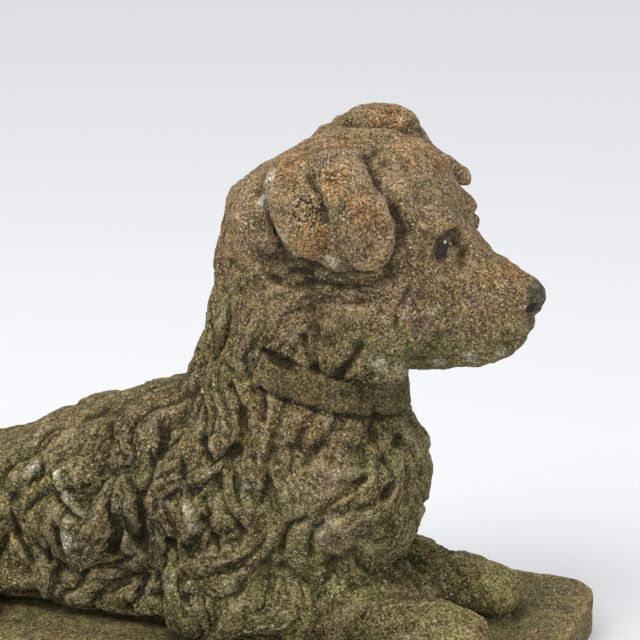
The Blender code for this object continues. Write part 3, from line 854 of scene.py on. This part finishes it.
class Finish:
    """A material's nodes, made one at a time by make()."""

    def __init__(self, name):
        self.material = bpy.data.materials.new(name)
        self.material.use_nodes = True
        self.nodes = self.material.node_tree.nodes
        self.links = self.material.node_tree.links
        self.shader = self.nodes["Principled BSDF"]
        self.here = self.make("TexCoord", out="Object")

    def join(self, slot, value):
        if isinstance(value, Socket):
            self.links.new(value.output, slot)
        else:
            slot.default_value = value

    def make(self, kind, settings=None, sockets=None, out=0):
        """An output of a new node, with its settings made first and then its sockets set or linked."""
        node = self.nodes.new("ShaderNode" + kind)
        for name, value in (settings or {}).items():
            setattr(node, name, value)
        for slot, value in (sockets or {}).items():
            self.join(node.inputs[slot], value)
        return Socket(self, node.outputs[out])

    def math(self, operation, *values):
        return self.make("Math", {"operation": operation}, dict(enumerate(values)))

    def weight(self, name):
        """One of the weights that paint_weights keeps on the mesh."""
        return self.make("Attribute", {"attribute_name": name}, out="Fac")

    def noise(self, scale, detail, roughness):
        return self.make("TexNoise", None, {
            "Vector": self.here, "Scale": scale, "Detail": detail, "Roughness": roughness
        })

    def crumbs(self, scale, channel=0):
        """A random value for each crumb of stone, with about scale of them to the metre."""
        colour = self.make("TexVoronoi", None, {"Vector": self.here, "Scale": scale}, out="Color")
        return self.make("SeparateColor", None, {"Color": colour}, out=channel)

    def dots(self, scale, size):
        """1 inside round grains spaced by scale, 0 between them."""
        far = self.make("TexVoronoi", None, {"Vector": self.here, "Scale": scale}, out="Distance")
        return self.step(far, size * 1.25, size * 0.8)

    def step(self, value, low, high):
        """0 below low, 1 above high and smooth between. With low above high it falls instead."""
        return self.make("MapRange", {"interpolation_type": "SMOOTHSTEP"}, {
            "Value": value, "From Min": low, "From Max": high
        })

    def oval(self, centre, radii, ragged, lean=0.0):
        """1 inside an oval on either side of the head, on the figure's scale. Its top leans to +X by lean."""
        x, y, z = [self.make("SeparateXYZ", None, {"Vector": self.here}, out=axis) for axis in range(3)]
        rise = z - (PLINTH_HEIGHT + centre[2] * UNIT)
        ahead = x - centre[0] * UNIT - lean * rise
        aside = self.math("ABSOLUTE", y) - centre[1] * UNIT
        parts = [length / (radius * UNIT) for length, radius in zip((ahead, aside, rise), radii)]
        squared = parts[0] * parts[0] + parts[1] * parts[1] + parts[2] * parts[2]
        return self.step(squared + ragged, 1.15, 0.85)

    def blend(self, share, below, above, kind="MIX"):
        """Two colours mixed by share, through the factor and colour sockets of a Mix node."""
        settings = {"data_type": "RGBA", "blend_type": kind}
        return self.make("Mix", settings, {0: share, 6: below, 7: above}, out=2)


def rgb(red, green, blue):
    """A colour given as it looks on screen, 0 to 255."""
    linear = [((c / 255 + 0.055) / 1.055) ** 2.4 if c > 10 else c / 255 / 12.92 for c in (red, green, blue)]
    return (*linear, 1.0)


# The stone's colours
DULL_BROWN = rgb(98, 78, 44)
SANDY_BROWN = rgb(115, 101, 62)
OLIVE = rgb(94, 90, 48)
WARM_BUFF = rgb(131, 107, 73)
MOSS_GREEN = rgb(87, 93, 44)
DUSTY_ROSE = rgb(124, 102, 92)
RED_BROWN = rgb(106, 80, 60)
ORANGE_LICHEN = rgb(140, 86, 30)
OCHRE_LICHEN = rgb(136, 110, 48)
WORN_AND_HIGHLIGHT_GREY = rgb(172, 164, 146)
CREST_HIGHLIGHT = rgb(158, 146, 117)
DARK_CRUMB = rgb(44, 34, 21)
LIGHT_CRUMB = rgb(184, 166, 130)
SOOT_BLACK = rgb(26, 23, 19)
PIT_BROWN = rgb(34, 29, 20)
GRIT_WHITE = rgb(206, 197, 176)
NOSE_SLATE = rgb(50, 52, 46)
NOSE_WORN = rgb(124, 122, 106)
NOSTRIL_SHADOW = rgb(26, 22, 16)
EYE_CORNER_SHADOW = rgb(34, 27, 17)
EYE_SLATE = rgb(30, 31, 34)
EYE_GLINT = rgb(186, 178, 164)

HAIR_LINES = 6.0  # how fast the hair lines follow each other across a strand


class WeatheredStone(Finish):
    """The statue's stone, built up in the order of the methods below."""

    def __init__(self):
        super().__init__("weathered_stone")
        self.speckle = self.noise(300.0, 4.0, 0.75)
        self.dust = self.noise(900.0, 3.0, 0.8)
        self.hollow = self.weight("hollow")
        self.groove = self.weight("groove")
        self.warmth = self.weight("warmth")
        self.collar = self.weight("collar")
        self.fur = self.weight("fur")
        self.hair = self.math("SINE", self.weight("hairs") * HAIR_LINES) * self.fur
        self.pits = self.dots(560.0, 0.30) * self.step(self.crumbs(560.0, 2), 0.55, 0.6)
        self.eye = self.oval((EYE[0], 41, EYE[2]), (4.1, 12, 7.4), self.speckle * 0.3 - 0.15, EYE_LEAN)

        stone = self.mottled()
        stone = self.grown_over(stone)
        stone = self.shaded(stone)
        stone = self.crumbled(stone)
        stone = self.with_nose(stone)
        stone = self.with_eyes(stone)
        self.join(self.shader.inputs["Base Color"], stone)
        self.join(self.shader.inputs["Roughness"], 0.93 - 0.2 * self.eye)
        self.join(self.shader.inputs["Normal"], self.grain_bump())
        self.shader.inputs["Specular IOR Level"].default_value = 0.25

    def mottled(self):
        """Bare stone, browner below and warmer on the head, with moss, rose and red-brown clouds."""
        mottle = self.noise(60.0, 5.0, 0.65)
        stone = self.blend(self.step(mottle, 0.38, 0.62), DULL_BROWN, SANDY_BROWN)
        stone = self.blend(self.step(self.noise(14.0, 5.0, 0.6), 0.40, 0.62) * 0.65, stone, OLIVE)
        warm = self.warmth * (0.4 + 0.5 * self.step(mottle, 0.35, 0.65))
        stone = self.blend(warm, stone, WARM_BUFF)
        moss = self.weight("moss") * self.step(self.noise(38.0, 5.0, 0.65), 0.36, 0.6)
        stone = self.blend(moss * 0.74, stone, MOSS_GREEN)
        rose = 0.10 + 0.38 * self.warmth + self.weight("rose")
        stone = self.blend(rose * self.step(self.noise(76.0, 5.0, 0.7), 0.44, 0.60) * 0.8, stone, DUSTY_ROSE)
        red = self.warmth * self.step(self.noise(52.0, 5.0, 0.7), 0.52, 0.66)
        return self.blend(red * 0.55, stone, RED_BROWN)

    def grown_over(self, stone):
        """Orange and ochre lichen in small crusts, and pale places: worn stone, and painted highlights on the
        body's raised locks.
        """
        crust = self.step(self.noise(420.0, 3.0, 0.8), 0.44, 0.58)
        orange = self.weight("orange") + 1.1 * (self.noise(130.0, 5.0, 0.75) - 0.60)
        stone = self.blend(self.step(orange, 0.15, 0.6) * crust * 0.85, stone, ORANGE_LICHEN)
        ochre = self.weight("ochre") + 0.8 * (self.noise(120.0, 5.0, 0.7) - 0.6)
        stone = self.blend(self.step(ochre, 0.2, 0.65) * (0.3 + 0.7 * crust) * 0.65, stone, OCHRE_LICHEN)
        # Worn stone and painted highlights, in one pale grey
        pale = self.weight("pale") + 1.0 * (self.noise(230.0, 5.0, 0.8) - 0.58)
        return self.blend(self.step(pale, 0.3, 0.7) * 0.75, stone, WORN_AND_HIGHLIGHT_GREY)

    def shaded(self, stone):
        """Crumbs of several sizes, with painted shade in the hollows and grooves and painted shadow spots,
        the collar's darker tone, painted light on faces and relief that look up, hair lines, and a painted
        highlight on the crests.
        """
        tone = 1.10 * self.crumbs(850.0) + 0.90 * self.crumbs(1400.0) + 0.30 * self.crumbs(430.0) - 0.15
        tone = tone * (0.32 + 0.68 * self.speckle + 0.70 * self.dust)
        # Painted shade: darker in the broad hollows and the fine grooves, never below a third
        sunk = self.math("MAXIMUM", self.hollow, 0.40)
        shade = (1.57 - 1.23 * sunk) * (1.43 - 0.95 * self.groove)
        tone = tone * self.math("MAXIMUM", shade, 0.34)
        tone = tone * (0.80 + 0.40 * self.step(self.noise(88.0, 5.0, 0.7), 0.36, 0.64))
        # The collar's darker tone, and the painted shadow spots
        tone = tone * (1.0 - 0.48 * self.collar) * (1.0 - 0.60 * self.weight("painted_shadow")) * 1.02
        # Painted light and shade: lighter where the face looks up and where the fine relief tilts up from its
        # broad form, darker where they turn down
        tone = tone * (0.84 + 0.24 * self.weight("painted_top_light")) * (1.0 + 0.34 * self.weight("tilt"))
        tone = self.math("MAXIMUM", tone * (1.0 + 0.26 * self.hair), 0.06)
        grey = self.make("CombineColor", None, {"Red": tone, "Green": tone, "Blue": tone})
        stone = self.blend(1.0, stone, grey, "MULTIPLY")
        # Painted highlight: pale buff along the crests of the locks, away from grooves and hollows, broken up
        # by noise
        crest = self.step(self.groove, 0.46, 0.20) * self.step(self.hollow, 0.60, 0.35) * self.fur
        worn = crest * self.step(self.noise(46.0, 4.0, 0.65), 0.42, 0.62)
        return self.blend(worn * 0.55, stone, CREST_HIGHLIGHT)

    def crumbled(self, stone):
        """Dark and light crumbs, soot, pits and white grit, the light ones on open faces."""
        open_face = self.step(self.hollow, 0.72, 0.46) * (1.0 - 0.6 * self.collar)
        stone = self.blend(self.step(self.crumbs(960.0, 1), 0.72, 0.84) * 0.60, stone, DARK_CRUMB)
        light = self.step(self.crumbs(900.0, 2), 0.78, 0.88) * open_face
        stone = self.blend(light * 0.58, stone, LIGHT_CRUMB)
        soot = self.weight("soot") * self.dots(440.0, 0.40)
        stone = self.blend(self.step(soot, 0.22, 0.40) * 0.92, stone, SOOT_BLACK)
        stone = self.blend(self.pits * 0.55, stone, PIT_BROWN)
        patchy = self.step(self.noise(26.0, 3.0, 0.6), 0.50, 0.64)
        rare = 0.975 - 0.16 * patchy - 0.12 * self.weight("gritty")
        grit = self.dots(470.0, 0.36) * self.step(self.crumbs(470.0, 1), rare, rare + 0.01)
        grit = grit * (0.35 + 0.6 * self.crumbs(470.0)) * (0.25 + 0.75 * open_face)
        return self.blend(grit, stone, GRIT_WHITE)

    def with_nose(self, stone):
        nose = self.oval((268, 0, 250), (13, 19, 15.5), self.speckle * 0.5 - 0.25)
        dark = nose * (0.50 + 0.4 * self.step(self.noise(160.0, 3.0, 0.6), 0.42, 0.58))
        stone = self.blend(dark, stone, NOSE_SLATE)
        worn = nose * self.step(self.noise(330.0, 3.0, 0.6), 0.54, 0.62)
        stone = self.blend(worn * 0.6, stone, NOSE_WORN)
        # Painted shadow in the nostrils
        nostril_shadow = self.oval((267, 15, 247), (5, 9, 4), 0.0)
        return self.blend(nostril_shadow * 0.8, stone, NOSTRIL_SHADOW)

    def with_eyes(self, stone):
        # Painted shadow in the inner corner of each eye
        corner = self.oval((216.5, 36, 288), (2.4, 6, 7.5), self.speckle * 0.5 - 0.25, -0.25)
        stone = self.blend(corner * 0.75, stone, EYE_CORNER_SHADOW)
        stone = self.blend(self.eye * (0.84 + 0.16 * self.speckle), stone, EYE_SLATE)
        # Painted highlight: a pale glint on the upper part of each eye
        glint = self.oval((212.0, 42, 294), (1.5, 9, 1.7), 0.0)
        return self.blend(glint * 0.9, stone, EYE_GLINT)

    def grain_bump(self):
        height = (0.5 * self.dust + 0.7 * self.speckle + 0.45 * self.noise(120.0, 4.0, 0.65)
                  + 0.40 * self.crumbs(760.0) - 0.5 * self.pits + 0.55 * self.hair)
        return self.make("Bump", None, {"Strength": 0.9, "Distance": 0.0012, "Height": height})


def floor_paint():
    material = bpy.data.materials.new("studio_floor")
    material.use_nodes = True
    shader = material.node_tree.nodes["Principled BSDF"]
    shader.inputs["Base Color"].default_value = (0.80, 0.80, 0.815, 1.0)
    shader.inputs["Roughness"].default_value = 0.9
    return material


def soft_box(name, at, size, power):
    """A square lamp that faces the dog."""
    light = bpy.data.lights.new(name, "AREA")
    light.shape, light.size, light.energy = "SQUARE", size, power
    obj = bpy.data.objects.new(name, light)
    obj.location = at
    obj.rotation_euler = (Vector((0.1, 0, 0.2)) - Vector(at)).to_track_quat("-Z", "Y").to_euler()
    bpy.context.scene.collection.objects.link(obj)


def studio():
    bm = bmesh.new()
    bmesh.ops.create_grid(bm, x_segments=1, y_segments=1, size=14.0)
    mesh = bpy.data.meshes.new("floor")
    bm.to_mesh(mesh)
    bm.free()
    floor = bpy.data.objects.new("floor", mesh)
    floor.data.materials.append(floor_paint())
    bpy.context.scene.collection.objects.link(floor)
    world = bpy.data.worlds.new("studio")
    world.use_nodes = True
    sky = world.node_tree.nodes["Background"]
    sky.inputs["Color"].default_value = (0.868, 0.875, 0.892, 1.0)
    sky.inputs["Strength"].default_value = 1.0
    bpy.context.scene.world = world
    soft_box("key_light", (-0.5, -1.1, 2.0), 1.1, 26.0)
    soft_box("side_light", (1.9, -0.9, 1.2), 1.2, 8.0)


# The photograph's viewing angle
CAMERA_AZIMUTH = math.radians(20)
CAMERA_ELEVATION = math.radians(16)
CAMERA_LENS = 120.0
CAMERA_SENSOR = 36.0
PICTURE_WIDTH = 0.448  # metres across the picture at the head
LOOK_AT = Vector((0.110, 0.0, 0.252))


def camera():
    data = bpy.data.cameras.new("camera")
    data.lens, data.sensor_width = CAMERA_LENS, CAMERA_SENSOR
    obj = bpy.data.objects.new("camera", data)
    level = math.cos(CAMERA_ELEVATION)
    back = Vector((math.sin(CAMERA_AZIMUTH) * level, -math.cos(CAMERA_AZIMUTH) * level,
                   math.sin(CAMERA_ELEVATION)))
    obj.location = LOOK_AT + back * (PICTURE_WIDTH * CAMERA_LENS / CAMERA_SENSOR)
    obj.rotation_euler = (-back).to_track_quat("-Z", "Y").to_euler()
    bpy.context.scene.collection.objects.link(obj)
    bpy.context.scene.camera = obj


terrier = sculpt_terrier()
paint_weights(terrier)
terrier.data.shade_smooth()
terrier.data.materials.clear()
terrier.data.materials.append(WeatheredStone().material)
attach(terrier, "root")
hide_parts("stone_terrier")
studio()
camera()
bpy.context.scene.view_settings.view_transform = "Standard"
